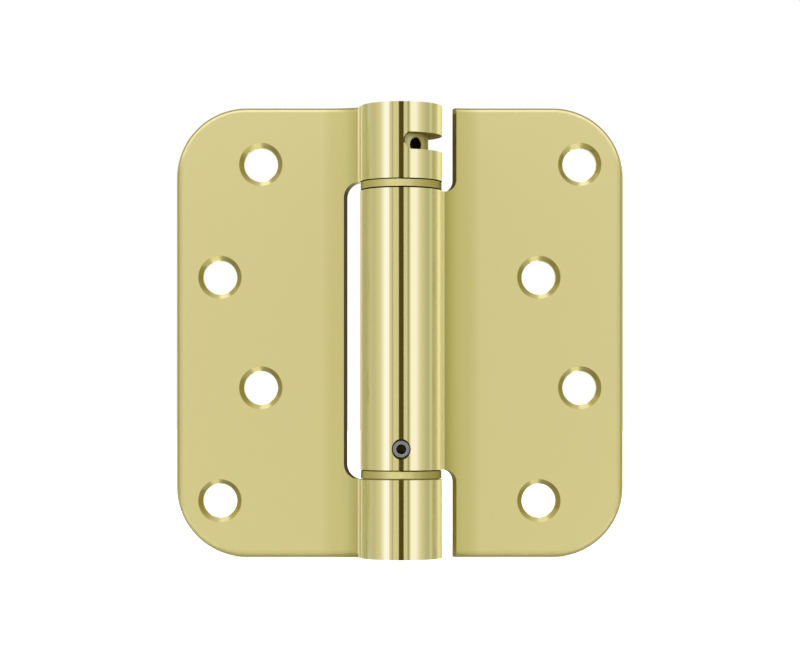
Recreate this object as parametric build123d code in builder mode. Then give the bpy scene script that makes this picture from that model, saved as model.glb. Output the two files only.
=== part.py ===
"""Adjustable spring hinge, opened flat.

The barrel axis is Z and the origin lies on it at half height. The frame leaf
reaches along -X and the door leaf along +X. Both countersunk faces look along
-Y, and the barrel stands proud on that side. All sizes are in millimetres.
"""

from build123d import *
from math import acos, asin, atan2, cos, degrees, hypot, radians, sin
import os

# Leaves
HINGE_HEIGHT = 101.6
FRAME_REACH = 50.8
DOOR_REACH = 50.2
SHEET = 3.0
CORNER_R = 15.875
EDGE_R = 1.0
FACE_SETBACK = 2.0
BEND_START = 16.0
BEND_R = 14.0
CREASE_R = 0.95
SEAM_GAP = 0.4

# Knuckles, and the cut-outs that clear the other leaf's knuckles
KNUCKLE_R = 9.2
UPPER_KNUCKLE = 16.9
LOWER_KNUCKLE = 17.7
FRAME_NOTCH_X = 12.95
FRAME_NOTCH_R = 3.4
DOOR_NOTCH_X = 12.5
DOOR_NOTCH_R = 2.8

# Screw holes: two staggered columns in each leaf
SCREW_HOLE_R = 3.84
SCREW_SINK_R = 4.9
SINK_ANGLE = 82
OUTER_COLUMN_INSET = 9.8
INNER_COLUMN_INSET = 19.05
END_ROW_INSET = 12.75
ROW_PITCH = 25.55

# Tension slot in the upper knuckle, with angles counted from +X
SLOT_HEIGHT = 3.85
SLOT_INSET = 8.6
SLOT_START = -85.4
SLOT_END = 60.0

# Clearances
RUN_FIT = 0.08
PRESS_FIT = 0.02
END_PLAY = 0.15
SEAT = 0.1
EDGE_BREAK = 0.25

# Flanged bushes
FLANGE = 2.0
FLANGE_STEP = 0.1
FLANGE_EDGE_R = 0.15
FLANGE_RELIEF = 0.2
FLANGE_RELIEF_WIDTH = 0.6
UPPER_SLEEVE = 8.0
LOWER_SLEEVE = 6.5

# Turned hub and spring anchor
SPIGOT_R = 4.2
HUB_RECESS = 0.6
HUB_CHAMFER = 0.5
HUB_HEX = 6.35
HUB_HEX_DEPTH = 6.0
PIN_HOLE_R = 1.5
PIN_HOLE_DEPTH = 3.6
PIN_HOLE_DROP = 0.6
PIN_HOLE_COUNT = 4
PIN_HOLE_ANGLE = -57.0
TAIL_R = 3.1
TAIL_LENGTH = 7.0
ANCHOR_BODY = 9.5

# Retaining clips and thrust washers
WASHER = 0.8
CLIP = 0.9
CLIP_WIDTH = 1.7
CLIP_GROOVE_DEPTH = 0.6
CLIP_MOUTH = 60.0
CLIP_LAND = 1.0
WASHER_GAP = 0.4

# Spring
WIRE = 2.0
COIL_GAP = 0.2
SPRING_WALL_GAP = 0.6
TANG_CLEARANCE = 0.15
TANG_INSET = 0.1

# Hollow anchor pin
ANCHOR_PIN_R = 1.9
ANCHOR_PIN_BORE_R = 1.18
ANCHOR_PIN_RISE = 4.75
ANCHOR_PIN_REACH = 5.0
ANCHOR_PIN_SINK = 0.15
ANCHOR_PIN_EDGE_R = 0.2
ANCHOR_HOLE_GAP = 0.2

# Bottom plug
PLUG = 3.5
PLUG_RECESS = 0.5
PLUG_CHAMFER = 0.5
PLUG_DISH_R = 3.0
PLUG_DISH = 0.8

# Heights along the barrel
TOP = HINGE_HEIGHT / 2
BORE_R = KNUCKLE_R - SHEET
UPPER_SPLIT = TOP - UPPER_KNUCKLE
LOWER_SPLIT = LOWER_KNUCKLE - TOP
MIDDLE_TOP = UPPER_SPLIT - END_PLAY - FLANGE
MIDDLE_FOOT = LOWER_SPLIT + FLANGE + END_PLAY
SLOT_Z = TOP - SLOT_INSET
END_ROW_Z = TOP - END_ROW_INSET
MIDDLE_ROW_Z = END_ROW_Z - ROW_PITCH
HUB_TOP = TOP - HUB_RECESS
HUB_FOOT = MIDDLE_TOP + FLANGE + SEAT
ANCHOR_FOOT = LOWER_SPLIT + FLANGE + SEAT
ANCHOR_TOP = ANCHOR_FOOT + ANCHOR_BODY
ANCHOR_PIN_Z = ANCHOR_FOOT + ANCHOR_PIN_RISE
UPPER_SLEEVE_FOOT = MIDDLE_TOP - UPPER_SLEEVE
LOWER_SLEEVE_FOOT = LOWER_SPLIT - LOWER_SLEEVE
SPIGOT_TAKE_UP = SEAT + WASHER + CLIP + CLIP_LAND
HUB_SPIGOT_FOOT = UPPER_SLEEVE_FOOT - SPIGOT_TAKE_UP
ANCHOR_SPIGOT_FOOT = LOWER_SLEEVE_FOOT - SPIGOT_TAKE_UP

# The sheet's section on the +X side: a gentle forward bend, a tight crease, then the roll
NEUTRAL_R = KNUCKLE_R - SHEET / 2
CREASE_NEUTRAL_R = CREASE_R + SHEET / 2
BEND_CENTRE = (BEND_START, FACE_SETBACK + SHEET / 2 - BEND_R)
BEND_CENTRE_AWAY = hypot(*BEND_CENTRE)
BEND_CENTRE_ANGLE = degrees(atan2(BEND_CENTRE[1], BEND_CENTRE[0]))
BACKWARD = 90.0


def triangle_angle(opposite, side_a, side_b):
    """Angle between two sides of a triangle, from its three lengths."""
    return degrees(acos((side_a**2 + side_b**2 - opposite**2) / (2 * side_a * side_b)))


def polar(radius, angle, centre=(0, 0)):
    """Point at a radius and an angle from a centre."""
    return (centre[0] + radius * cos(radians(angle)), centre[1] + radius * sin(radians(angle)))


CREASE_AWAY = NEUTRAL_R + CREASE_NEUTRAL_R
CREASE_ANGLE = BEND_CENTRE_ANGLE + triangle_angle(
    BEND_R - CREASE_NEUTRAL_R, CREASE_AWAY, BEND_CENTRE_AWAY
)
CREASE_CENTRE = polar(CREASE_AWAY, CREASE_ANGLE)
CREASE_START = degrees(
    atan2(CREASE_CENTRE[1] - BEND_CENTRE[1], CREASE_CENTRE[0] - BEND_CENTRE[0])
)
CREASE_SWEEP = CREASE_ANGLE + 180 - CREASE_START
ROLL_END = BEND_CENTRE_ANGLE + triangle_angle(
    BEND_R + SHEET / 2 + SEAM_GAP, KNUCKLE_R, BEND_CENTRE_AWAY
)
ROLL_SWEEP = 360 - ROLL_END + CREASE_ANGLE


def arc_band(centre, middle_r, start, sweep, width=SHEET):
    """Curved band of one width, such as a bent stretch of the sheet, in the current sketch."""
    inner, outer = middle_r - width / 2, middle_r + width / 2
    with BuildLine() as outline:
        CenterArc(centre, outer, start, sweep)
        CenterArc(centre, inner, start, sweep)
        for end in (start, start + sweep):
            Line(polar(inner, end, centre), polar(outer, end, centre))
    make_face(outline.edges())


def notch_plane(notch_x):
    """Plane square to the bent sheet, on the wall of a cut-out whose front edge is at notch_x."""
    tilt = degrees(asin((BEND_START - notch_x) / (BEND_R - SHEET / 2)))
    along = (-cos(radians(tilt)), -sin(radians(tilt)), 0)
    across = (-sin(radians(tilt)), cos(radians(tilt)), 0)
    return Plane(origin=(*polar(BEND_R, BACKWARD + tilt, BEND_CENTRE), 0), x_dir=along, z_dir=across)


def leaf(reach, notch_x, notch_r, notches, inner_rows, outer_rows):
    """Leaf on the +X side. Each notch is a (low, high) pair of heights that its knuckles skip."""
    with BuildPart() as apron:
        with BuildSketch():
            with BuildLine():
                Polyline(
                    (BEND_START, FACE_SETBACK),
                    (reach, FACE_SETBACK),
                    (reach, FACE_SETBACK + SHEET),
                    (BEND_START, FACE_SETBACK + SHEET),
                    close=True,
                )
            make_face()
            arc_band(BEND_CENTRE, BEND_R, BACKWARD, CREASE_START - BACKWARD)
        extrude(amount=TOP, both=True)
        fillet(apron.edges().filter_by(Axis.Y).group_by(Axis.X)[-1], CORNER_R)
        front = apron.faces().filter_by(Axis.Y).sort_by(Axis.Y)[0]
        bends = apron.faces().filter_by(GeomType.CYLINDER).filter_by(
            lambda face: face.center().X < BEND_START
        )
        rim = front.edges().filter_by(lambda edge: edge.center().X > BEND_START + EDGE_R / 2)
        rim += bends.sort_by(Axis.Y)[0].edges().filter_by(
            lambda edge: abs(edge.center().Z) > TOP / 2
        )
        fillet(rim, EDGE_R)

    with BuildPart() as blank:
        add(apron.part)
        with BuildSketch():
            arc_band(CREASE_CENTRE, CREASE_NEUTRAL_R, CREASE_START, CREASE_SWEEP)
            arc_band((0, 0), NEUTRAL_R, ROLL_END, ROLL_SWEEP)
        extrude(amount=TOP, both=True)

        reach_over = notch_x + 2 * KNUCKLE_R
        for low, high in notches:
            with BuildSketch(notch_plane(notch_x)):
                with Locations((reach_over / 2, (low + high) / 2)):
                    cutter = Rectangle(reach_over, high - low)
                fillet(cutter.vertices().group_by(Axis.X)[0], notch_r)
            extrude(amount=2 * KNUCKLE_R, both=True, mode=Mode.SUBTRACT)

        face_plane = Plane(origin=(0, FACE_SETBACK, 0), x_dir=(1, 0, 0), z_dir=(0, -1, 0))
        with Locations(face_plane):
            with Locations(
                *[(reach - INNER_COLUMN_INSET, z) for z in inner_rows],
                *[(reach - OUTER_COLUMN_INSET, z) for z in outer_rows],
            ):
                CounterSinkHole(SCREW_HOLE_R, SCREW_SINK_R, counter_sink_angle=SINK_ANGLE)
    return blank


def deburred_hole(radius, depth):
    """Hole with a small 45 degree edge break at its mouth, at the current location."""
    CounterSinkHole(radius, radius + EDGE_BREAK, depth=depth, counter_sink_angle=90)


def turned(*corners):
    """Solid turned about the barrel axis, from the (radius, height) corners of its half section."""
    with BuildSketch(Plane.XZ) as half_section:
        with BuildLine():
            Polyline(*corners, close=True)
        make_face()
    revolve(half_section.sketch, axis=Axis.Z)


def flanged_bush(seat, sleeve):
    """Bush whose flange lies on a knuckle's upper end, with its sleeve pressed into the bore.

    The rim of the flange is relieved underneath, so it stands clear of the knuckle's edge.
    """
    flange_r = KNUCKLE_R - FLANGE_STEP
    seat_r = flange_r - FLANGE_RELIEF_WIDTH
    with BuildPart() as bush:
        turned(
            (SPIGOT_R + RUN_FIT, seat + FLANGE),
            (flange_r, seat + FLANGE),
            (flange_r, seat + FLANGE_RELIEF),
            (seat_r, seat + FLANGE_RELIEF),
            (seat_r, seat),
            (BORE_R - PRESS_FIT, seat),
            (BORE_R - PRESS_FIT, seat - sleeve),
            (SPIGOT_R + RUN_FIT, seat - sleeve),
        )
        rim = bush.edges().filter_by(
            lambda edge: edge.geom_type == GeomType.CIRCLE and edge.radius > seat_r
        )
        fillet(rim, FLANGE_EDGE_R)
    return bush


def spigot_corners(head_foot, sleeve_foot):
    """Corners of a spigot with the groove of its retaining clip, from the head down."""
    groove_top = sleeve_foot - SEAT - WASHER
    groove_foot = groove_top - CLIP
    return [
        (SPIGOT_R, head_foot),
        (SPIGOT_R, groove_top),
        (SPIGOT_R - CLIP_GROOVE_DEPTH, groove_top),
        (SPIGOT_R - CLIP_GROOVE_DEPTH, groove_foot),
        (SPIGOT_R, groove_foot),
        (SPIGOT_R, sleeve_foot - SPIGOT_TAKE_UP),
    ]


def tang_slot(foot):
    """Cross slot through a tail, for the spring's tang."""
    with BuildSketch(Plane.XY.offset(foot)) as slot:
        Rectangle(2 * BORE_R, WIRE + 2 * TANG_CLEARANCE)
    extrude(slot.sketch, amount=TAIL_LENGTH, mode=Mode.SUBTRACT)


def thrust_washer(sleeve_foot):
    """Washer between a bush and the clip below it."""
    with BuildPart() as washer:
        with BuildSketch(Plane.XY.offset(sleeve_foot - SEAT - WASHER)):
            Circle(BORE_R - WASHER_GAP)
            Circle(SPIGOT_R + RUN_FIT, mode=Mode.SUBTRACT)
        extrude(amount=WASHER)
    return washer


def retaining_clip(sleeve_foot):
    """Open spring clip that snaps into a spigot's groove, under the thrust washer."""
    inner = SPIGOT_R - CLIP_GROOVE_DEPTH + PRESS_FIT
    with BuildPart() as clip:
        with BuildSketch(Plane.XY.offset(sleeve_foot - SEAT - WASHER - CLIP)):
            arc_band((0, 0), inner + CLIP_WIDTH / 2, CLIP_MOUTH / 2, 360 - CLIP_MOUTH, CLIP_WIDTH)
        extrude(amount=CLIP)
    return clip


# Frame leaf: the upper and lower knuckles, with the tension slot round the upper one
frame_blank = leaf(
    FRAME_REACH,
    FRAME_NOTCH_X,
    FRAME_NOTCH_R,
    notches=[(LOWER_SPLIT, UPPER_SPLIT)],
    inner_rows=(END_ROW_Z, -MIDDLE_ROW_Z),
    outer_rows=(MIDDLE_ROW_Z, -END_ROW_Z),
)
slot_r = SLOT_HEIGHT / 2
slot_round = degrees(asin(slot_r / KNUCKLE_R))
slot_ends = (SLOT_START + slot_round, SLOT_END - slot_round)
with BuildPart() as frame_leaf:
    mirror(frame_blank.part, about=Plane.YZ)
    with BuildSketch(Plane.XY.offset(SLOT_Z - slot_r)):
        arc_band((0, 0), NEUTRAL_R, slot_ends[0], slot_ends[1] - slot_ends[0], 2 * SHEET)
    extrude(amount=SLOT_HEIGHT, mode=Mode.SUBTRACT)
    for angle in slot_ends:
        with Locations(Plane(origin=(0, 0, SLOT_Z), z_dir=(*polar(1, angle), 0))):
            Cylinder(
                slot_r,
                2 * KNUCKLE_R,
                align=(Align.CENTER, Align.CENTER, Align.MIN),
                mode=Mode.SUBTRACT,
            )

# Door leaf: the long middle knuckle, with the hole of the anchor pin in its front
past_end = TOP + 2 * DOOR_NOTCH_R
door_blank = leaf(
    DOOR_REACH,
    DOOR_NOTCH_X,
    DOOR_NOTCH_R,
    notches=[(MIDDLE_TOP, past_end), (-past_end, MIDDLE_FOOT)],
    inner_rows=(MIDDLE_ROW_Z, -END_ROW_Z),
    outer_rows=(END_ROW_Z, -MIDDLE_ROW_Z),
)
pin_plane = Plane(origin=(0, -KNUCKLE_R, ANCHOR_PIN_Z), x_dir=(1, 0, 0), z_dir=(0, -1, 0))
with BuildPart() as door_leaf:
    add(door_blank.part)
    with Locations(pin_plane):
        deburred_hole(ANCHOR_PIN_R + ANCHOR_HOLE_GAP, KNUCKLE_R)

upper_bush = flanged_bush(MIDDLE_TOP, UPPER_SLEEVE)
lower_bush = flanged_bush(LOWER_SPLIT, LOWER_SLEEVE)

# Tension hub: wound by a hex key from above, and held by a pin put in one of its radial holes
hub_r = BORE_R - RUN_FIT
with BuildPart() as tension_hub:
    turned(
        (0, HUB_TOP),
        (hub_r - HUB_CHAMFER, HUB_TOP),
        (hub_r, HUB_TOP - HUB_CHAMFER),
        (hub_r, HUB_FOOT),
        *spigot_corners(HUB_FOOT, UPPER_SLEEVE_FOOT),
        (TAIL_R, HUB_SPIGOT_FOOT),
        (TAIL_R, HUB_SPIGOT_FOOT - TAIL_LENGTH),
        (0, HUB_SPIGOT_FOOT - TAIL_LENGTH),
    )
    with BuildSketch(Plane.XY.offset(HUB_TOP)):
        RegularPolygon(HUB_HEX / 2, 6, major_radius=False)
    extrude(amount=-HUB_HEX_DEPTH, mode=Mode.SUBTRACT)
    for turn in range(PIN_HOLE_COUNT):
        angle = PIN_HOLE_ANGLE + 360 * turn / PIN_HOLE_COUNT
        mouth = (*polar(hub_r, angle), SLOT_Z - PIN_HOLE_DROP)
        with Locations(Plane(origin=mouth, z_dir=(*polar(1, angle), 0))):
            deburred_hole(PIN_HOLE_R, PIN_HOLE_DEPTH)
    tang_slot(HUB_SPIGOT_FOOT - TAIL_LENGTH)

# Spring anchor: held in the middle knuckle by the hollow pin, its spigot turns in the lower bush
anchor_r = BORE_R - PRESS_FIT
with BuildPart() as spring_anchor:
    turned(
        (0, ANCHOR_TOP + TAIL_LENGTH),
        (TAIL_R, ANCHOR_TOP + TAIL_LENGTH),
        (TAIL_R, ANCHOR_TOP),
        (anchor_r, ANCHOR_TOP),
        (anchor_r, ANCHOR_FOOT),
        *spigot_corners(ANCHOR_FOOT, LOWER_SLEEVE_FOOT),
        (0, ANCHOR_SPIGOT_FOOT),
    )
    tang_slot(ANCHOR_TOP)
    with Locations(pin_plane):
        Hole(ANCHOR_PIN_R + PRESS_FIT, depth=KNUCKLE_R + ANCHOR_PIN_REACH)

hub_washer = thrust_washer(UPPER_SLEEVE_FOOT)
hub_clip = retaining_clip(UPPER_SLEEVE_FOOT)
anchor_washer = thrust_washer(LOWER_SLEEVE_FOOT)
anchor_clip = retaining_clip(LOWER_SLEEVE_FOOT)

# Torsion spring: close coils of square wire, each end turned in as a tang across the tails
coil_r = BORE_R - SPRING_WALL_GAP - WIRE / 2
coil_foot = ANCHOR_TOP + SEAT + WIRE / 2
coil_height = HUB_SPIGOT_FOOT - SEAT - WIRE / 2 - coil_foot
turns = int(coil_height // (WIRE + COIL_GAP))
tang_outer = coil_r + WIRE / 2 - TANG_INSET
with BuildPart() as torsion_spring:
    with BuildLine() as coil:
        Helix(coil_height / turns, coil_height, coil_r, center=(0, 0, coil_foot))
    with BuildSketch(Plane(origin=coil.line @ 0, x_dir=(1, 0, 0), z_dir=coil.line % 0)):
        Rectangle(WIRE, WIRE)
    sweep(path=coil.line, is_frenet=True)
    for tang_z in (coil_foot, coil_foot + coil_height):
        with Locations(((tang_outer - TAIL_R) / 2, 0, tang_z)):
            Box(tang_outer + TAIL_R, WIRE, WIRE - 2 * TANG_INSET)

# Anchor pin: a hollow steel pin driven in from the front, short of the bore's back wall
with BuildPart() as anchor_pin:
    with BuildSketch(pin_plane.offset(-ANCHOR_PIN_SINK)):
        Circle(ANCHOR_PIN_R)
        Circle(ANCHOR_PIN_BORE_R, mode=Mode.SUBTRACT)
    extrude(amount=ANCHOR_PIN_SINK - KNUCKLE_R - ANCHOR_PIN_REACH)
    mouth = anchor_pin.faces().sort_by(Axis.Y)[0]
    fillet(mouth.outer_wire().edges(), ANCHOR_PIN_EDGE_R)

# Bottom plug: pressed into the lower knuckle, just inside its end
plug_foot = PLUG_RECESS - TOP
plug_r = BORE_R - PRESS_FIT
with BuildPart() as bottom_plug:
    turned(
        (0, plug_foot + PLUG),
        (plug_r, plug_foot + PLUG),
        (plug_r, plug_foot + PLUG_CHAMFER),
        (plug_r - PLUG_CHAMFER, plug_foot),
        (PLUG_DISH_R, plug_foot),
        (0, plug_foot + PLUG_DISH),
    )

pieces = {
    "frame_leaf": frame_leaf,
    "door_leaf": door_leaf,
    "upper_bush": upper_bush,
    "lower_bush": lower_bush,
    "tension_hub": tension_hub,
    "hub_washer": hub_washer,
    "hub_clip": hub_clip,
    "torsion_spring": torsion_spring,
    "spring_anchor": spring_anchor,
    "anchor_washer": anchor_washer,
    "anchor_clip": anchor_clip,
    "anchor_pin": anchor_pin,
    "bottom_plug": bottom_plug,
}
os.makedirs("parts", exist_ok=True)
for name, piece in pieces.items():
    piece.part.label = name
    export_step(piece.part, f"parts/{name}.step")
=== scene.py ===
"""Spring hinge in polished brass, standing opened flat on a pale table in a small studio."""

import bmesh
import bpy
from math import cos, pi, radians, sin
from mathutils import Matrix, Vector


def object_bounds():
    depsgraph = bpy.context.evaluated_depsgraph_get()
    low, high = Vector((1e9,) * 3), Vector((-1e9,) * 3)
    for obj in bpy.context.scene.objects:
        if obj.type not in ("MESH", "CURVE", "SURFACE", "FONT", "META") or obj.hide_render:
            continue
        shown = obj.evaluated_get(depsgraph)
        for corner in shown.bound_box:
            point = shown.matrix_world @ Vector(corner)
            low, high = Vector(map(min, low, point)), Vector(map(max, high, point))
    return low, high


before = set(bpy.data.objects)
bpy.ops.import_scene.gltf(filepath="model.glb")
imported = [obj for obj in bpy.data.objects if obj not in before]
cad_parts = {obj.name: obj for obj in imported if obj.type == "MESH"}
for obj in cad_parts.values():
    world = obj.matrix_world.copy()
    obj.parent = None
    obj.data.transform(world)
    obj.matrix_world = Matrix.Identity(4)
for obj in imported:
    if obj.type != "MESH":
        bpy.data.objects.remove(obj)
cad_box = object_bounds()
scene = bpy.context.scene

# Camera: it stands square to the leaves at arm's length, a little below the middle of the hinge,
# with its window raised so that the hinge is in the middle of the picture.
CAMERA_PLACE = (-0.00026, -0.500, -0.0185)
CAMERA_LENS = 99.86
CAMERA_RISE = 0.1054

camera_data = bpy.data.cameras.new("camera")
camera_data.lens = CAMERA_LENS
camera_data.shift_y = CAMERA_RISE
camera = bpy.data.objects.new("camera", camera_data)
camera.location = CAMERA_PLACE
camera.rotation_euler = (radians(90), 0, 0)
scene.collection.objects.link(camera)
scene.camera = camera
scene.view_settings.view_transform = "Standard"


# Table: a sheet of opal acrylic, cast milky white and lit a little from below, so it stays white
# round the hinge and shows no line against the white room.
TABLE_SIZE = 8.0
TABLE_PALE = "f4f4f2"
TABLE_GLOW = 0.62
TABLE_ROUGHNESS = 0.6
ROOM_WHITE = "ffffff"
ROOM_BRIGHTNESS = 1.0


def colour(hex_code):
    """Linear colour of an sRGB hex value."""
    channels = [int(hex_code[start : start + 2], 16) / 255 for start in (0, 2, 4)]
    linear = [c / 12.92 if c <= 0.04045 else ((c + 0.055) / 1.055) ** 2.4 for c in channels]
    return (*linear, 1.0)


def add_node(tree, kind, sockets=(), **settings):
    """Node of one kind. Each socket takes a value, or the node or output that is linked to it."""
    node = tree.nodes.new(kind)
    for name, value in settings.items():
        setattr(node, name, value)
    for name, value in dict(sockets).items():
        if isinstance(name, int):
            socket = node.inputs[name]
        else:
            socket = next(s for s in node.inputs if s.name == name and s.enabled)
        if isinstance(value, bpy.types.Node):
            value = next(output for output in value.outputs if output.enabled)
        if isinstance(value, bpy.types.NodeSocket):
            tree.links.new(value, socket)
        else:
            socket.default_value = value
    return node


def new_finish(name):
    """Empty material, and its tree of nodes."""
    material = bpy.data.materials.new(name)
    material.use_nodes = True
    material.node_tree.nodes.clear()
    return material, material.node_tree


def put_on_stage(name, shape, material):
    """The shape as a piece of the studio, which isn't part of the hinge."""
    mesh = bpy.data.meshes.new(name)
    shape.to_mesh(mesh)
    shape.free()
    mesh.materials.append(material)
    piece = bpy.data.objects.new(name, mesh)
    scene.collection.objects.link(piece)
    return piece


def flat_sheet(name, width, depth, middle, material):
    """Level rectangle round its middle."""
    shape = bmesh.new()
    bmesh.ops.create_grid(shape, x_segments=1, y_segments=1, size=0.5)
    bmesh.ops.scale(shape, vec=(width, depth, 1), verts=shape.verts)
    bmesh.ops.translate(shape, vec=middle, verts=shape.verts)
    return put_on_stage(name, shape, material)


# Opal acrylic, cast: an even milky white with no shine, on which the hinge casts next to no shadow.
opal_acrylic, tree = new_finish("opal_acrylic")
acrylic_skin = add_node(tree, "ShaderNodeBsdfPrincipled", {
    "Base Color": colour(TABLE_PALE),
    "Roughness": TABLE_ROUGHNESS,
    "Specular IOR Level": 0.0,
    "Emission Color": colour(TABLE_PALE),
    "Emission Strength": TABLE_GLOW,
})
add_node(tree, "ShaderNodeOutputMaterial", {"Surface": acrylic_skin})
table_top = cad_box[0].z
table = flat_sheet("table", TABLE_SIZE, TABLE_SIZE, (0, 0, table_top), opal_acrylic)
table.visible_glossy = False

# Painted walls: a soft white light that comes from all sides alike.
room = bpy.data.worlds.new("white_room")
room.use_nodes = True
room.node_tree.nodes.clear()
room_paint = add_node(room.node_tree, "ShaderNodeBackground", {
    "Color": colour(ROOM_WHITE), "Strength": ROOM_BRIGHTNESS,
})
add_node(room.node_tree, "ShaderNodeOutputWorld", {"Surface": room_paint})
scene.world = room


# Studio: the metal mirrors a warm cream room. Tall painted cards stand round the hinge, out of the
# picture, and show in the polished knuckles as upright bands. Three level ones light or darken what
# looks up or down.
ROOM_REACH = 1.6
ROOM_CREAM = "e7e6cb"
KEY_WHITE = "f0f0ff"
KEY_CORE_WHITE = "ced6ff"
FILL_CREAM = "ece7b8"
LENS_UMBER = "5a5124"
BACK_LEFT_STRAW = "d8d19b"
BACK_RIGHT_STRAW = "d2cb94"
OVERHEAD_UMBER = "5a4a20"
# Tiers of standing cards, as (foot, top, distance from the barrel's axis)
EYE_TIER = (-0.34, 0.44, 1.2)
CORE_TIER = (-0.34, 0.44, 1.164)
HIGH_TIER = (0.44, 1.0, 1.2)
LOW_TIER = (-0.62, -0.34, 1.2)
# Name, tier, colour, how bright, and four places in degrees round the barrel: where the card starts
# to show, where it is full, where it starts to fade and where it ends (0 at the camera, + to the
# right)
STANDING_CARDS = [
    ("key_left", EYE_TIER, KEY_WHITE, 1.44, (-62, -46, -34.8, -31.5)),
    ("key_right", EYE_TIER, KEY_WHITE, 1.38, (24, 28, 42, 58)),
    ("lens_flag", EYE_TIER, LENS_UMBER, 0.9, (-7.9, -5.6, 6.7, 7.6)),
    ("slit_left", EYE_TIER, ROOM_CREAM, 0.65, (-26.8, -25.4, -23.6, -22)),
    ("slit_right", EYE_TIER, ROOM_CREAM, 0.53, (16.5, 19, 21.2, 23.4)),
    ("wing_left", EYE_TIER, ROOM_CREAM, 0.82, (-106, -98, -80, -66)),
    ("wing_right", EYE_TIER, ROOM_CREAM, 0.74, (60, 76, 86, 90)),
    ("back_left", EYE_TIER, BACK_LEFT_STRAW, 1.0, (-165, -160, -114, -108)),
    ("back_right", EYE_TIER, BACK_RIGHT_STRAW, 1.0, (94, 100, 155, 165)),
    ("key_core", CORE_TIER, KEY_CORE_WHITE, 1.9, (-45.5, -43, -39.5, -36)),
    ("fill_high", HIGH_TIER, FILL_CREAM, 1.85, (-48, -40, 40, 48)),
    ("fill_low", LOW_TIER, FILL_CREAM, 2.9, (-48, -40, 40, 48)),
    ("rim_light", HIGH_TIER, FILL_CREAM, 1.6, (-48, -56, -100, -112)),
    ("rim_light", HIGH_TIER, FILL_CREAM, 1.6, (48, 56, 100, 112)),
]
# How far each of the four places has faded
FEATHERING = (1.0, 0.0, 0.0, 1.0)
# Name, width, depth, where its middle is, colour, how bright
LEVEL_CARDS = [
    ("overhead_softbox", 2.0, 1.1, (0, -0.60, 0.8), KEY_WHITE, 1.6),
    ("overhead_flag", 2.4, 1.6, (0, 1.0, 0.7), OVERHEAD_UMBER, 1.0),
    ("table_flag", 2.0, 0.8, (0, -0.2, table_top - 0.3), ROOM_CREAM, 0.5),
]


def only_in_metal(piece):
    """Only the glossy metal sees this piece of the studio."""
    piece.visible_camera = False
    piece.visible_diffuse = False
    piece.visible_shadow = False


def glowing(name, hex_code, brightness):
    """Paint with light of its own: an even glow that fades out as the feather attribute rises."""
    paint, tree = new_finish(name)
    light = add_node(tree, "ShaderNodeEmission", {
        "Color": colour(hex_code), "Strength": brightness,
    })
    feather = add_node(tree, "ShaderNodeAttribute", attribute_name="feather")
    clear = add_node(tree, "ShaderNodeBsdfTransparent")
    feathered = add_node(tree, "ShaderNodeMixShader", {
        "Fac": feather.outputs["Fac"], 1: light, 2: clear,
    })
    add_node(tree, "ShaderNodeOutputMaterial", {"Surface": feathered})
    return paint


def standing_card(name, tier, hex_code, brightness, places):
    """Upright card bent round the barrel's axis, feathered at its two sides."""
    foot, top, distance = tier
    shape = bmesh.new()
    feather = shape.verts.layers.float.new("feather")
    # The folds are all drawn out at the camera's place, and then each is turned to its own
    folds = [shape.edges.new([shape.verts.new((0, -distance, z)) for z in (foot, top)])]
    while len(folds) < len(places):
        drawn_out = bmesh.ops.extrude_edge_only(shape, edges=folds[-1:])["geom"]
        folds += [part for part in drawn_out if isinstance(part, bmesh.types.BMEdge)]
    for fold, angle, fade in zip(folds, places, FEATHERING):
        turn = Matrix.Rotation(radians(angle), 3, "Z")
        bmesh.ops.rotate(shape, matrix=turn, verts=list(fold.verts))
        for vert in fold.verts:
            vert[feather] = fade
    only_in_metal(put_on_stage(name, shape, glowing(name + "_paint", hex_code, brightness)))


shape = bmesh.new()
bmesh.ops.create_icosphere(shape, subdivisions=4, radius=ROOM_REACH)
only_in_metal(put_on_stage("cream_room", shape, glowing("cream_wall", ROOM_CREAM, 1.0)))

for card in STANDING_CARDS:
    standing_card(*card)

for name, width, depth, middle, hex_code, brightness in LEVEL_CARDS:
    paint = glowing(name + "_paint", hex_code, brightness)
    only_in_metal(flat_sheet(name, width, depth, middle, paint))


# Leaves: 3 mm brass sheet, blanked, pierced and countersunk, then rolled into knuckles and plated.
# The flats keep a satin skin and the knuckles are polished on the wheel. Sheared edges and the
# walls of the notches and the slot stay rough and dark.
HINGE_TOP = 0.0508
LEAF_REACH = {"frame_leaf": 0.0508, "door_leaf": 0.0502}
CORNER_R = 0.015875
KNUCKLE_R = 0.0092
# Just under and just over the knuckles' outer skin, by distance from the barrel's axis
UNDER_SKIN = 0.00917
OVER_SKIN = 0.0093
# Just short of the knuckles' end faces
SHORT_OF_END = 0.0506

BRASS = "e6deae"
POLISHED_ROUGHNESS = 0.07
FLANK_ROUGHNESS = 0.5
SATIN_ROUGHNESS = 0.48
PLATE_SPECULAR = 0.5
# The wheel's polish is full up to the first place across the barrel, and gone at the second
POLISH_ENDS = (0.0068, 0.0084)
# The satin starts at the first distance from the barrel's axis, and is full at the second
SATIN_STARTS = (0.0095, 0.0112)
# How far up or down a knuckle's skin has to look, to be its satin end face
END_LOOKS = (0.92, 0.98)
# The real grain is about 0.1 mm, too fine to show, so it is drawn 0.4 mm wide
SATIN_GRAIN = 0.0004
GRAIN_DETAIL = 2.0
GRAIN_STRENGTH = 0.2
GRAIN_DEPTH = 0.00002

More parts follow.
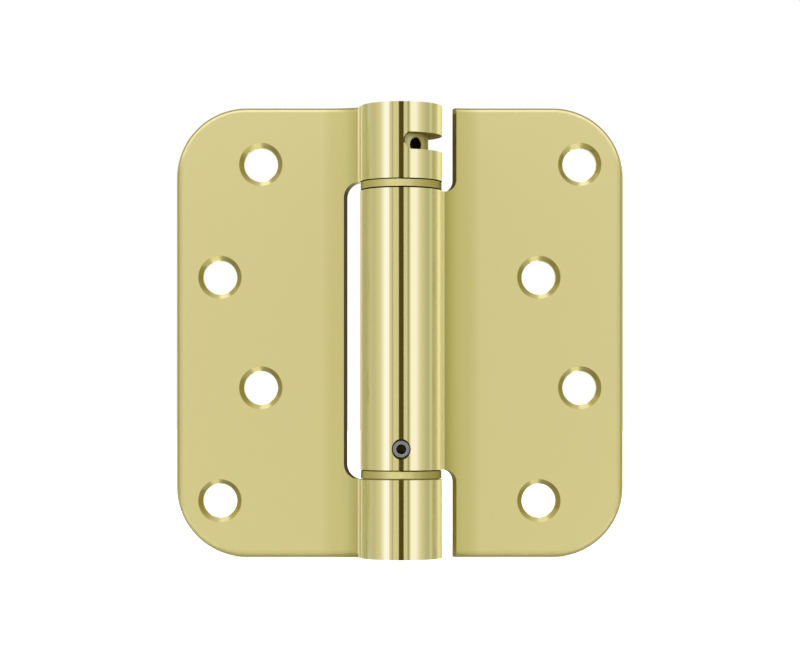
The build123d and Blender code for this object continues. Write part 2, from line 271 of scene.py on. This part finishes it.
# Painted light on the knuckles across the barrel, as (x, colour): a stripe of painted shade and
# then a painted highlight down each flank
FLANK_PAINTED_LIGHT = [
    (-0.0092, "e9e2bc"), (-0.00906, "dcd5b0"), (-0.0089, "f8f1cc"), (-0.0087, "f4edc8"),
    (-0.0082, "d6d5b1"), (-0.0077, "cdcca9"), (-0.0073, "dfdebc"), (-0.0068, "ebe3b0"),
    (-0.0062, "e6deae"), (0.0062, "e6deae"), (0.0069, "dad7b3"), (0.0074, "d6d4bc"),
    (0.0078, "eae4c2"), (0.0082, "f8f0b9"),
]
# How far the wheel has rounded the flanks towards the front, as (x, lean): a lean of 1 turns skin
# that looks sideways halfway to the front
LEFT_LEANS = [(-0.0092, 0.7), (-0.00906, 0.45), (-0.0089, 1.3), (-0.0087, 0.0)]
FLANK_LEANS = {
    "frame_leaf": LEFT_LEANS + [(0.0079, 0.0), (0.0083, 1.3), (0.0088, 1.3), (0.0092, 0.4)],
    "door_leaf": LEFT_LEANS + [
        (0.0079, 0.0), (0.0083, 1.35), (0.0087, 1.35), (0.00895, 0.2), (0.0092, 1.2),
    ],
}

# Painted shade on the brass beside the barrel, with a painted highlight at its inner end, by
# distance from its axis
CREASE_PAINTED_SHADE = {
    "frame_leaf": [(0.0096, 1.2), (0.0099, 0.64), (0.0114, 0.68), (0.0137, 0.83), (0.018, 1.0)],
    "door_leaf": [(0.0096, 1.1), (0.0099, 0.52), (0.0114, 0.6), (0.0137, 0.74), (0.018, 0.99)],
}
# Tone of a band of painted shade along the free edges, by how far in from the outline it is, from
# the inner side to the outer
EDGE_PAINTED_SHADE = [
    (0.0016, 1.0), (0.00125, 0.93), (0.001, 0.88), (0.0008, 0.9), (0.0006, 0.95), (0.0004, 1.0),
]
# The band fades out between two heights under the top edge, and between two places round a corner
BAND_TOP = (0.0455, 0.049)
BAND_CORNER = (0.001, 0.006)

# Sheared walls of the upper and the lower notch, the door leaf's lower one painted lighter as
# painted light from below, and the painted light they catch where they look down
NOTCH_BRASS = {"frame_leaf": ("554d3e", "554d3e"), "door_leaf": ("5e531f", "8a8026")}
DOWNWARD_PAINTED_LIGHT = "d8d0a0"
UNDERCUT_SHARE = 0.35
# Sheared walls along the hinge's outline, and the painted shade on the rounded sides beside them
OUTER_CUT_BRASS = "8a8148"
SIDE_PAINTED_SHADE = "a69b5e"
CUT_ROUGHNESS = 0.9
CUT_SPECULAR = 0.1
# How far forwards a face has to look, to be a flat and not a sheared edge
FLAT_LOOKS = (0.68, 0.9)
# How far down a wall has to look, to catch all of that light or none
UNDERCUT_LOOKS = (-0.95, -0.25)
# How far sideways the edge has to look, to take the painted shade
SIDE_SHADE_LOOKS = (0.02, 0.5)
# Sheared edges begin between these two distances from the barrel's axis
SHEARED_STARTS = (0.0104, 0.0108)
# Past this height or this x, an edge is part of the hinge's outline
OUTLINE_Z = 0.0496
OUTLINE_X = 0.03

# Tension slot: the foot of its part of the knuckle, the height and radius of its closed round end,
# and how far round the barrel that end's middle is from the front
SLOT_FOOT = 0.0375
SLOT_Z = 0.0422
SLOT_R = 0.001925
SLOT_END_TURN = radians(16.7)
SLOT_BRASS = "786c18"
OILY_BRASS = "2e2810"
# A line of painted shade along the closed end, and where it stops below and to the right
SLOT_PAINTED_SHADE = "40360c"
SHADE_LINE_WIDTH = 0.0002
SHADE_LINE_FOOT = 0.0416
SHADE_LINE_FADES = (0.0016, 0.0024)

# Screw holes, by their middles (x, z): punched 7.7 mm wide and countersunk to 9.8 mm at the front
SCREW_HOLES = {
    "frame_leaf": [(-0.03175, 0.03805), (-0.03175, -0.0125), (-0.041, 0.0125), (-0.041, -0.03805)],
    "door_leaf": [(0.03115, 0.0125), (0.03115, -0.03805), (0.0404, 0.03805), (0.0404, -0.0125)],
}
# Distances from a hole's middle: just inside and just outside its punched wall, where the cutter's
# cone ends, and as far as counts as near the hole. The cones lie in front of CONE_BACK, a y.
HOLE_FROM = 0.00374
PUNCHED_TO = 0.00389
CONE_TO = 0.00488
HOLE_FIELD = 0.00539
CONE_BACK = 0.004
# The cones are painted darker, as painted shade, and lighter in streaks, as painted highlights
CONE_SHADE_BRASS = "b3a965"
CONE_HIGHLIGHT_BRASS = "ece3b4"
PUNCHED_BRASS = "fbf6dc"
COUNTERSUNK_ROUGHNESS = 0.45
PUNCHED_ROUGHNESS = 0.15
# Painted highlights in streaks round a cone, by angle from +X in half turns, and how far they
# lean towards the front
CONE_PAINTED_HIGHLIGHTS = [
    (-0.85, 0.0), (-0.72, 0.04), (-0.65, 0.08), (-0.53, 0.15), (-0.46, 1.0), (-0.38, 1.0),
    (-0.335, 0.15), (-0.28, 0.06), (-0.17, 0.08), (-0.11, 0.0), (0.25, 0.06), (0.33, 0.2),
    (0.45, 0.33), (0.5, 0.65), (0.53, 1.0), (0.61, 1.0), (0.67, 0.5), (0.72, 0.38), (0.78, 0.32),
    (0.84, 0.12), (0.93, 0.0),
]
STREAK_LEAN = 2.5


def grey(tone):
    """Plain tone, for a share or a lean."""
    return (tone, tone, tone, 1.0)


def painted_shade_tone(tone):
    """Tone of painted shade on brass: blue falls with the tone's square, as brass mirroring brass
    loses it first.
    """
    return (tone, tone, tone**2, 1.0)


def set_stops(ramp, stops, low, high, shade):
    """Stops, as (place, value), of a ramp from low to high. Shade turns a value to a colour."""
    elements = ramp.color_ramp.elements
    while len(elements) < len(stops):
        elements.new(0.5)
    for element, (place, tone) in zip(elements, stops):
        element.position = (place - low) / (high - low)
        element.color = shade(tone)


def place_in_hole(tree, place, holes):
    """Where a point is in the nearest screw hole, from that hole's middle."""
    within = None
    for x, z in holes:
        offset = add_node(tree, "ShaderNodeVectorMath", {
            0: place, 1: (x, 0, z),
        }, operation="SUBTRACT")
        flat = add_node(tree, "ShaderNodeVectorMath", {
            0: offset, 1: (1, 0, 1),
        }, operation="MULTIPLY")
        reach = add_node(tree, "ShaderNodeVectorMath", {0: flat}, operation="LENGTH")
        near = add_node(tree, "ShaderNodeMath", {0: reach, 1: HOLE_FIELD}, operation="LESS_THAN")
        own = add_node(tree, "ShaderNodeVectorMath", {0: flat, "Scale": near}, operation="SCALE")
        within = own if within is None else add_node(
            tree, "ShaderNodeVectorMath", {0: within, 1: own}, operation="ADD"
        )
    return within


# Rolled brass, plated: the flats are an even pale gold with a faint grain, the polished knuckles
# mirror the studio in upright bands, and cut metal shows as thin dark lines.
def rolled_brass(leaf):
    """Finish of one leaf, with its own holes, crease, flanks and notches."""
    finish, tree = new_finish("rolled_brass_" + leaf)
    coords = add_node(tree, "ShaderNodeTexCoord")
    place = coords.outputs["Object"]
    split = add_node(tree, "ShaderNodeSeparateXYZ", {"Vector": place})
    looks = add_node(tree, "ShaderNodeSeparateXYZ", {"Vector": coords.outputs["Normal"]})
    sideways = add_node(tree, "ShaderNodeMath", {0: split.outputs["X"]}, operation="ABSOLUTE")
    height = add_node(tree, "ShaderNodeMath", {0: split.outputs["Z"]}, operation="ABSOLUTE")
    looks_sideways = add_node(tree, "ShaderNodeMath", {
        0: looks.outputs["X"],
    }, operation="ABSOLUTE")
    looks_forwards = add_node(tree, "ShaderNodeMath", {
        0: looks.outputs["Y"],
    }, operation="ABSOLUTE")
    looks_up_or_down = add_node(tree, "ShaderNodeMath", {
        0: looks.outputs["Z"],
    }, operation="ABSOLUTE")

    # Distance from the barrel's axis, which tells flats, knuckles and the walls inside them apart
    level = add_node(tree, "ShaderNodeVectorMath", {0: place, 1: (1, 1, 0)}, operation="MULTIPLY")
    away = add_node(tree, "ShaderNodeVectorMath", {0: level}, operation="LENGTH")
    flats = add_node(tree, "ShaderNodeMapRange", {
        "Value": away, "From Min": SATIN_STARTS[0], "From Max": SATIN_STARTS[1],
    })
    on_barrel = add_node(tree, "ShaderNodeMath", {0: away, 1: OVER_SKIN}, operation="LESS_THAN")
    inside = add_node(tree, "ShaderNodeMath", {0: away, 1: UNDER_SKIN}, operation="LESS_THAN")
    outer_skin = add_node(tree, "ShaderNodeMath", {0: on_barrel, 1: inside}, operation="SUBTRACT")
    below_end = add_node(tree, "ShaderNodeMath", {
        0: height, 1: SHORT_OF_END,
    }, operation="LESS_THAN")
    knuckle_wall = add_node(tree, "ShaderNodeMath", {
        0: inside, 1: below_end,
    }, operation="MULTIPLY")
    front_half = add_node(tree, "ShaderNodeMath", {
        0: split.outputs["Y"], 1: 0,
    }, operation="LESS_THAN")
    front_flank = add_node(tree, "ShaderNodeMath", {
        0: on_barrel, 1: front_half,
    }, operation="MULTIPLY")
    left, right = -KNUCKLE_R, KNUCKLE_R
    across = add_node(tree, "ShaderNodeMapRange", {
        "Value": split.outputs["X"], "From Min": left, "From Max": right,
    })

    # Screw holes: the punched wall, and the cone in front of it
    within = place_in_hole(tree, place, SCREW_HOLES[leaf])
    hole_reach = add_node(tree, "ShaderNodeVectorMath", {0: within}, operation="LENGTH")
    past_rim = add_node(tree, "ShaderNodeMath", {
        0: hole_reach, 1: HOLE_FROM,
    }, operation="GREATER_THAN")
    before_face = add_node(tree, "ShaderNodeMath", {
        0: hole_reach, 1: CONE_TO,
    }, operation="LESS_THAN")
    cone = add_node(tree, "ShaderNodeMath", {0: past_rim, 1: before_face}, operation="MULTIPLY")
    ahead = add_node(tree, "ShaderNodeMath", {
        0: split.outputs["Y"], 1: CONE_BACK,
    }, operation="LESS_THAN")
    countersink = add_node(tree, "ShaderNodeMath", {0: cone, 1: ahead}, operation="MULTIPLY")
    before_cone = add_node(tree, "ShaderNodeMath", {
        0: hole_reach, 1: PUNCHED_TO,
    }, operation="LESS_THAN")
    punched = add_node(tree, "ShaderNodeMath", {0: past_rim, 1: before_cone}, operation="MULTIPLY")
    in_hole = add_node(tree, "ShaderNodeMath", {0: countersink, 1: punched}, operation="MAXIMUM")
    off_hole = add_node(tree, "ShaderNodeMath", {0: 1.0, 1: in_hole}, operation="SUBTRACT")

    # Sheared edges of the flats, which with the knuckles' inner walls are all the cut metal
    edge = add_node(tree, "ShaderNodeMapRange", {
        "Value": looks_forwards, "From Min": FLAT_LOOKS[0], "From Max": FLAT_LOOKS[1],
        "To Min": 1.0, "To Max": 0.0,
    })
    off_barrel = add_node(tree, "ShaderNodeMapRange", {
        "Value": away, "From Min": SHEARED_STARTS[0], "From Max": SHEARED_STARTS[1],
    })
    sheared = add_node(tree, "ShaderNodeMath", {0: edge, 1: off_barrel}, operation="MULTIPLY")
    sheared = add_node(tree, "ShaderNodeMath", {0: sheared, 1: off_hole}, operation="MULTIPLY")
    cut = add_node(tree, "ShaderNodeMath", {0: sheared, 1: knuckle_wall}, operation="MAXIMUM")

    # Painted highlights in streaks round each cone
    corner = add_node(tree, "ShaderNodeSeparateXYZ", {"Vector": within})
    turn = add_node(tree, "ShaderNodeMath", {
        0: corner.outputs["Z"], 1: corner.outputs["X"],
    }, operation="ARCTAN2")
    half_turns = add_node(tree, "ShaderNodeMapRange", {
        "Value": turn, "From Min": -pi, "From Max": pi,
    })
    cone_highlight = add_node(tree, "ShaderNodeValToRGB", {"Fac": half_turns})
    set_stops(cone_highlight, CONE_PAINTED_HIGHLIGHTS, -1, 1, grey)
    cone_highlight_share = add_node(tree, "ShaderNodeMath", {0: cone_highlight, 1: countersink}, operation="MULTIPLY")

    # Normal: the knuckles' outside is truly round, whatever the mesh's triangles are, and streaks
    # and flanks lean towards the front
    radial = add_node(tree, "ShaderNodeVectorMath", {0: level}, operation="NORMALIZE")
    radial = add_node(tree, "ShaderNodeVectorTransform", {
        "Vector": radial,
    }, vector_type="NORMAL", convert_from="OBJECT", convert_to="WORLD")
    surface = add_node(tree, "ShaderNodeNewGeometry")
    round_skin = add_node(tree, "ShaderNodeMix", {
        "Factor": outer_skin, "A": surface.outputs["Normal"], "B": radial,
    }, data_type="VECTOR")
    streak_lean = add_node(tree, "ShaderNodeMath", {
        0: cone_highlight_share, 1: STREAK_LEAN,
    }, operation="MULTIPLY")
    wheeled = add_node(tree, "ShaderNodeValToRGB", {"Fac": across})
    set_stops(wheeled, FLANK_LEANS[leaf], left, right, grey)
    flank_lean = add_node(tree, "ShaderNodeMath", {
        0: wheeled, 1: front_flank,
    }, operation="MULTIPLY")
    both_leans = add_node(tree, "ShaderNodeMath", {
        0: streak_lean, 1: flank_lean,
    }, operation="ADD")
    front = add_node(tree, "ShaderNodeVectorTransform", {
        "Vector": (0, -1, 0),
    }, vector_type="VECTOR", convert_from="OBJECT", convert_to="WORLD")
    lean = add_node(tree, "ShaderNodeVectorMath", {
        0: front, "Scale": both_leans,
    }, operation="SCALE")
    leaning = add_node(tree, "ShaderNodeVectorMath", {0: round_skin, 1: lean}, operation="ADD")
    leaning = add_node(tree, "ShaderNodeVectorMath", {0: leaning}, operation="NORMALIZE")

    # Plate, with painted shade in the crease beside the barrel and a painted highlight at its inner
    # end
    nearest, farthest = CREASE_PAINTED_SHADE[leaf][0][0], CREASE_PAINTED_SHADE[leaf][-1][0]
    crease_place = add_node(tree, "ShaderNodeMapRange", {
        "Value": away, "From Min": nearest, "From Max": farthest,
    })
    crease_painted_shade = add_node(tree, "ShaderNodeValToRGB", {"Fac": crease_place})
    set_stops(crease_painted_shade, CREASE_PAINTED_SHADE[leaf], nearest, farthest, painted_shade_tone)
    plate = add_node(tree, "ShaderNodeMixRGB", {
        "Fac": 1.0, "Color1": colour(BRASS), "Color2": crease_painted_shade,
    }, blend_type="MULTIPLY")

    # Band of painted shade along the free sides and the lower edge, by how far in from the outline
    # it is, which is measured from the middle of the nearest corner's arc
    folded = add_node(tree, "ShaderNodeVectorMath", {0: place}, operation="ABSOLUTE")
    past_middle = add_node(tree, "ShaderNodeVectorMath", {
        0: folded, 1: (1, 0, 1), 2: (CORNER_R - LEAF_REACH[leaf], 0, CORNER_R - HINGE_TOP),
    }, operation="MULTIPLY_ADD")
    outward = add_node(tree, "ShaderNodeVectorMath", {
        0: past_middle, 1: (0, 0, 0),
    }, operation="MAXIMUM")
    from_middle = add_node(tree, "ShaderNodeVectorMath", {0: outward}, operation="LENGTH")
    outward = add_node(tree, "ShaderNodeSeparateXYZ", {"Vector": outward})
    round_corner = add_node(tree, "ShaderNodeMath", {
        0: outward.outputs["X"], 1: outward.outputs["Z"],
    }, operation="MINIMUM")
    straight = add_node(tree, "ShaderNodeMapRange", {
        "Value": round_corner, "From Min": BAND_CORNER[0], "From Max": BAND_CORNER[1],
        "To Min": 1.0, "To Max": 0.0,
    })
    inmost, outmost = EDGE_PAINTED_SHADE[0][0], EDGE_PAINTED_SHADE[-1][0]
    edge_place = add_node(tree, "ShaderNodeMapRange", {
        "Value": from_middle, "From Min": CORNER_R - inmost, "From Max": CORNER_R - outmost,
    })
    edge_painted_shade = add_node(tree, "ShaderNodeValToRGB", {"Fac": edge_place})
    set_stops(edge_painted_shade, EDGE_PAINTED_SHADE, inmost, outmost, painted_shade_tone)
    under_top = add_node(tree, "ShaderNodeMapRange", {
        "Value": split.outputs["Z"], "From Min": BAND_TOP[0], "From Max": BAND_TOP[1],
        "To Min": flats, "To Max": 0.0,
    })
    edge_shade_share = add_node(tree, "ShaderNodeMath", {0: under_top, 1: straight}, operation="MULTIPLY")
    plate = add_node(tree, "ShaderNodeMixRGB", {
        "Fac": edge_shade_share, "Color1": plate, "Color2": edge_painted_shade,
    }, blend_type="MULTIPLY")

    # Knuckles, with painted shade and painted highlights in bands across the barrel
    flanks = add_node(tree, "ShaderNodeValToRGB", {"Fac": across})
    set_stops(flanks, FLANK_PAINTED_LIGHT, left, right, colour)
    plate = add_node(tree, "ShaderNodeMixRGB", {
        "Fac": on_barrel, "Color1": plate, "Color2": flanks,
    })

    # Line of painted shade along the slot's closed end, by how far it is from that end's own axis
    from_slot = add_node(tree, "ShaderNodeVectorMath", {
        0: place, 1: (0, 0, SLOT_Z),
    }, operation="SUBTRACT")
    around_end = add_node(tree, "ShaderNodeVectorMath", {
        0: from_slot, 1: (sin(SLOT_END_TURN), -cos(SLOT_END_TURN), 0),
    }, operation="CROSS_PRODUCT")
    end_reach = add_node(tree, "ShaderNodeVectorMath", {0: around_end}, operation="LENGTH")
    near_end = add_node(tree, "ShaderNodeMath", {
        0: end_reach, 1: SLOT_R + SHADE_LINE_WIDTH,
    }, operation="LESS_THAN")
    upper_part = add_node(tree, "ShaderNodeMath", {
        0: split.outputs["Z"], 1: SHADE_LINE_FOOT,
    }, operation="GREATER_THAN")
    slot_shade_line = add_node(tree, "ShaderNodeMapRange", {
        "Value": split.outputs["X"],
        "From Min": SHADE_LINE_FADES[0], "From Max": SHADE_LINE_FADES[1],
        "To Min": near_end, "To Max": 0.0,
    })
    for limit in (upper_part, front_flank, outer_skin):
        slot_shade_line = add_node(tree, "ShaderNodeMath", {0: slot_shade_line, 1: limit}, operation="MULTIPLY")
    plate = add_node(tree, "ShaderNodeMixRGB", {
        "Fac": slot_shade_line, "Color1": plate, "Color2": colour(SLOT_PAINTED_SHADE),
    })

    # Sheared edges: darkest in the notches, paler along the outline, and in painted shade along the
    # sides
    # The door leaf's lower notch wall is painted lighter than its upper one, as painted light from
    # below
    upper_wall, lower_wall = NOTCH_BRASS[leaf]
    low_half = add_node(tree, "ShaderNodeMath", {
        0: split.outputs["Z"], 1: 0,
    }, operation="LESS_THAN")
    edge_colour = add_node(tree, "ShaderNodeMixRGB", {
        "Fac": low_half, "Color1": colour(upper_wall), "Color2": colour(lower_wall),
    })
    # Walls that look down take painted light
    undercut = add_node(tree, "ShaderNodeMapRange", {
        "Value": looks.outputs["Z"],
        "From Min": UNDERCUT_LOOKS[0], "From Max": UNDERCUT_LOOKS[1],
        "To Min": UNDERCUT_SHARE, "To Max": 0.0,
    })
    edge_colour = add_node(tree, "ShaderNodeMixRGB", {
        "Fac": undercut, "Color1": edge_colour, "Color2": colour(DOWNWARD_PAINTED_LIGHT),
    })
    at_end = add_node(tree, "ShaderNodeMath", {0: height, 1: OUTLINE_Z}, operation="GREATER_THAN")
    at_side = add_node(tree, "ShaderNodeMath", {
        0: sideways, 1: OUTLINE_X,
    }, operation="GREATER_THAN")
    outline = add_node(tree, "ShaderNodeMath", {0: at_end, 1: at_side}, operation="MAXIMUM")
    edge_colour = add_node(tree, "ShaderNodeMixRGB", {
        "Fac": outline, "Color1": edge_colour, "Color2": colour(OUTER_CUT_BRASS),
    })
    plate = add_node(tree, "ShaderNodeMixRGB", {
        "Fac": sheared, "Color1": plate, "Color2": edge_colour,
    })
    free_side = add_node(tree, "ShaderNodeMath", {0: at_side, 1: straight}, operation="MULTIPLY")
    side_shade = add_node(tree, "ShaderNodeMapRange", {
        "Value": looks_sideways, "From Min": SIDE_SHADE_LOOKS[0], "From Max": SIDE_SHADE_LOOKS[1],
        "To Max": free_side,
    })
    plate = add_node(tree, "ShaderNodeMixRGB", {
        "Fac": side_shade, "Color1": plate, "Color2": colour(SIDE_PAINTED_SHADE),
    })

    # Cones, punched walls, and the walls inside the knuckles: oily, but rubbed brighter at the slot
    # The cones take painted shade, with painted highlights in streaks
    cone_colour = add_node(tree, "ShaderNodeMixRGB", {
        "Fac": cone_highlight, "Color1": colour(CONE_SHADE_BRASS), "Color2": colour(CONE_HIGHLIGHT_BRASS),
    })
    plate = add_node(tree, "ShaderNodeMixRGB", {
        "Fac": countersink, "Color1": plate, "Color2": cone_colour,
    })
    plate = add_node(tree, "ShaderNodeMixRGB", {
        "Fac": punched, "Color1": plate, "Color2": colour(PUNCHED_BRASS),
    })
    at_slot = add_node(tree, "ShaderNodeMath", {0: height, 1: SLOT_FOOT}, operation="GREATER_THAN")
    wall_colour = add_node(tree, "ShaderNodeMixRGB", {
        "Fac": at_slot, "Color1": colour(OILY_BRASS), "Color2": colour(SLOT_BRASS),
    })
    plate = add_node(tree, "ShaderNodeMixRGB", {
        "Fac": knuckle_wall, "Color1": plate, "Color2": wall_colour,
    })

    # Roughness: the knuckles' crown is polished, their flanks and ends and the flats are satin, and
    # holes and cut walls have their own
    roughness = add_node(tree, "ShaderNodeMapRange", {
        "Value": sideways, "From Min": POLISH_ENDS[0], "From Max": POLISH_ENDS[1],
        "To Min": POLISHED_ROUGHNESS, "To Max": FLANK_ROUGHNESS,
    })
    roughness = add_node(tree, "ShaderNodeMapRange", {
        "Value": looks_up_or_down, "From Min": END_LOOKS[0], "From Max": END_LOOKS[1],
        "To Min": roughness, "To Max": SATIN_ROUGHNESS,
    })
    roughness = add_node(tree, "ShaderNodeMapRange", {
        "Value": flats, "To Min": roughness, "To Max": SATIN_ROUGHNESS,
    })
    for part, dull in (
        (countersink, COUNTERSUNK_ROUGHNESS), (punched, PUNCHED_ROUGHNESS), (cut, CUT_ROUGHNESS),
    ):
        roughness = add_node(tree, "ShaderNodeMix", {"Factor": part, "A": roughness, "B": dull})

    # Satin grain on the flats
    grain = add_node(tree, "ShaderNodeTexNoise", {
        "Vector": place, "Scale": 1 / SATIN_GRAIN, "Detail": GRAIN_DETAIL,
    })
    grain = add_node(tree, "ShaderNodeMath", {0: grain, 1: flats}, operation="MULTIPLY")
    grain_bump = add_node(tree, "ShaderNodeBump", {
        "Height": grain, "Strength": GRAIN_STRENGTH, "Distance": GRAIN_DEPTH, "Normal": leaning,
    })

    # Cut metal is filmed with dark oil, so it isn't lit as metal
    uncut = add_node(tree, "ShaderNodeMath", {0: 1.0, 1: cut}, operation="SUBTRACT")
    specular = add_node(tree, "ShaderNodeMapRange", {
        "Value": cut, "To Min": PLATE_SPECULAR, "To Max": CUT_SPECULAR,
    })
    brass_skin = add_node(tree, "ShaderNodeBsdfPrincipled", {
        "Metallic": uncut,
        "Base Color": plate,
        "Roughness": roughness,
        "Specular IOR Level": specular,
        "Normal": grain_bump,
    })
    add_node(tree, "ShaderNodeOutputMaterial", {"Surface": brass_skin})
    return finish


def give_finish(node, material):
    """The CAD node keeps its shape and takes this material."""
    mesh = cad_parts[node].data
    mesh.materials.clear()
    mesh.materials.append(material)


for leaf in ("frame_leaf", "door_leaf"):
    give_finish(leaf, rolled_brass(leaf))


# Bushes: turned from solid brass bar and pressed into the knuckles. Only their flanged rims show,
# as the two rings of the barrel, with a dark line of oil in the gaps beside them.
TURNED_ROUGHNESS = 0.42
# The tool's real rings are about 0.1 mm apart, too fine to show, so they are drawn 0.25 mm apart
TOOL_FEED = 0.00025
RING_DETAIL = 1.0
RING_STRENGTH = 0.3
RING_DEPTH = 0.00002
# Painted light on the rims across the barrel, as (x, colour): a painted highlight along the crown
# and painted shade towards the sides
RIM_PAINTED_LIGHT = [
    (-0.0092, "c8c28c"), (-0.004, "c9c083"), (0.0, "f6efb9"), (0.003, "bbb173"), (0.0092, "b6ad70"),
]
# The gaps start under this distance from the axis. The oil is black, but thin under LOWER_RING_Z.
GAP_UNDER = 0.00909
OIL_BLACK = "2c2611"
OIL_THIN = "c0b570"
LOWER_RING_Z = -0.0321


def turned_skin(tree):
    """A turned piece's x, y and z, its distance from the axis, and the rings of the tool."""
    coords = add_node(tree, "ShaderNodeTexCoord")
    split = add_node(tree, "ShaderNodeSeparateXYZ", {"Vector": coords.outputs["Object"]})
    level = add_node(tree, "ShaderNodeVectorMath", {
        0: coords.outputs["Object"], 1: (1, 1, 0),
    }, operation="MULTIPLY")
    away = add_node(tree, "ShaderNodeVectorMath", {0: level}, operation="LENGTH")
    section = add_node(tree, "ShaderNodeCombineXYZ", {"X": away, "Z": split.outputs["Z"]})
    rings = add_node(tree, "ShaderNodeTexNoise", {
        "Vector": section, "Scale": 1 / TOOL_FEED, "Detail": RING_DETAIL,
    })
    ring_bump = add_node(tree, "ShaderNodeBump", {
        "Height": rings, "Strength": RING_STRENGTH, "Distance": RING_DEPTH,
    })
    return split, away, ring_bump


# Turned brass, left as it comes off the lathe: fine rings, duller and browner than the plate.
turned_brass, tree = new_finish("turned_brass")
split, away, ring_bump = turned_skin(tree)
left, right = RIM_PAINTED_LIGHT[0][0], RIM_PAINTED_LIGHT[-1][0]
across = add_node(tree, "ShaderNodeMapRange", {
    "Value": split.outputs["X"], "From Min": left, "From Max": right,
})
# Painted highlight along the crown and painted shade towards the sides
rim_painted_light = add_node(tree, "ShaderNodeValToRGB", {"Fac": across})
set_stops(rim_painted_light, RIM_PAINTED_LIGHT, left, right, colour)
wiped = add_node(tree, "ShaderNodeMath", {
    0: split.outputs["Z"], 1: LOWER_RING_Z,
}, operation="LESS_THAN")
oil = add_node(tree, "ShaderNodeMixRGB", {
    "Fac": wiped, "Color1": colour(OIL_BLACK), "Color2": colour(OIL_THIN),
})
in_gap = add_node(tree, "ShaderNodeMath", {0: away, 1: GAP_UNDER}, operation="LESS_THAN")
bush_colour = add_node(tree, "ShaderNodeMixRGB", {
    "Fac": in_gap, "Color1": rim_painted_light, "Color2": oil,
})
bush_skin = add_node(tree, "ShaderNodeBsdfPrincipled", {
    "Metallic": 1.0,
    "Base Color": bush_colour,
    "Roughness": TURNED_ROUGHNESS,
    "Normal": ring_bump,
})
add_node(tree, "ShaderNodeOutputMaterial", {"Surface": bush_skin})
for node in ("upper_bush", "lower_bush"):
    give_finish(node, turned_brass)


# Tension hub, spring anchor and bottom plug: turned from brass bar. The hub and the anchor run in
# the two bushes and hold the spring's ends, and the plug is pressed into the lower knuckle. The hub
# is wound by a key from above, and a pin through the slot holds it by one of its radial holes.
HUB_BRASS = "c6bf8c"
HOLE_WALL_BROWN = "6e5c2c"
# The radial holes' walls are nearer to the axis than HOLES_WITHIN, and as near as HOLES_HALF to
# the height HOLES_Z
HOLES_WITHIN = 0.00597
HOLES_Z = 0.0416
HOLES_HALF = 0.0018

# Oiled brass, turned: a soft even straw colour with fine rings, and the holes' walls painted a
# darker brown.
oiled_brass, tree = new_finish("oiled_brass")
split, away, ring_bump = turned_skin(tree)
inside = add_node(tree, "ShaderNodeMath", {0: away, 1: HOLES_WITHIN}, operation="LESS_THAN")
at_holes = add_node(tree, "ShaderNodeMath", {
    0: split.outputs["Z"], 1: HOLES_Z, 2: HOLES_HALF,
}, operation="COMPARE")
hole_walls = add_node(tree, "ShaderNodeMath", {0: inside, 1: at_holes}, operation="MULTIPLY")
hub_colour = add_node(tree, "ShaderNodeMixRGB", {
    "Fac": hole_walls, "Color1": colour(HUB_BRASS), "Color2": colour(HOLE_WALL_BROWN),
})
hub_skin = add_node(tree, "ShaderNodeBsdfPrincipled", {
    "Metallic": 1.0,
    "Base Color": hub_colour,
    "Roughness": TURNED_ROUGHNESS,
    "Normal": ring_bump,
})
add_node(tree, "ShaderNodeOutputMaterial", {"Surface": hub_skin})
for node in ("tension_hub", "spring_anchor", "bottom_plug"):
    give_finish(node, oiled_brass)


# Anchor pin: a hollow pin of drawn steel, driven in from the front. It holds the spring anchor in
# the long knuckle.
PIN_STEEL = "8e919d"
PIN_BORE_PAINTED_LIGHT = "b4b4c0"
PIN_ROUGHNESS = 0.5
PIN_Z = -0.02625
# Just over the bore's radius
PIN_BORE_REACH = 0.00123

# Drawn steel: a cool matt grey against the brass. The bore is painted a pale grey that isn't lit
# as metal, as painted light in its shade.
pin_steel, tree = new_finish("pin_steel")
coords = add_node(tree, "ShaderNodeTexCoord")
offset = add_node(tree, "ShaderNodeVectorMath", {
    0: coords.outputs["Object"], 1: (0, 0, PIN_Z),
}, operation="SUBTRACT")
flat = add_node(tree, "ShaderNodeVectorMath", {0: offset, 1: (1, 0, 1)}, operation="MULTIPLY")
reach = add_node(tree, "ShaderNodeVectorMath", {0: flat}, operation="LENGTH")
bore = add_node(tree, "ShaderNodeMath", {0: reach, 1: PIN_BORE_REACH}, operation="LESS_THAN")
pin_colour = add_node(tree, "ShaderNodeMixRGB", {
    "Fac": bore, "Color1": colour(PIN_STEEL), "Color2": colour(PIN_BORE_PAINTED_LIGHT),
})
bare_steel = add_node(tree, "ShaderNodeMath", {0: 1.0, 1: bore}, operation="SUBTRACT")
pin_skin = add_node(tree, "ShaderNodeBsdfPrincipled", {
    "Metallic": bare_steel, "Base Color": pin_colour, "Roughness": PIN_ROUGHNESS,
})
add_node(tree, "ShaderNodeOutputMaterial", {"Surface": pin_skin})
give_finish("anchor_pin", pin_steel)


# Spring, washers and clips: the spring is coiled from square wire, the others are stamped. All are
# shut inside the barrel.
STEEL = "8f8c86"
STEEL_ROUGHNESS = 0.35

# Plain steel, drawn or stamped: an even soft grey shine.
plain_steel, tree = new_finish("plain_steel")
steel_skin = add_node(tree, "ShaderNodeBsdfPrincipled", {
    "Metallic": 1.0, "Base Color": colour(STEEL), "Roughness": STEEL_ROUGHNESS,
})
add_node(tree, "ShaderNodeOutputMaterial", {"Surface": steel_skin})
for node in ("hub_washer", "hub_clip", "torsion_spring", "anchor_washer", "anchor_clip"):
    give_finish(node, plain_steel)
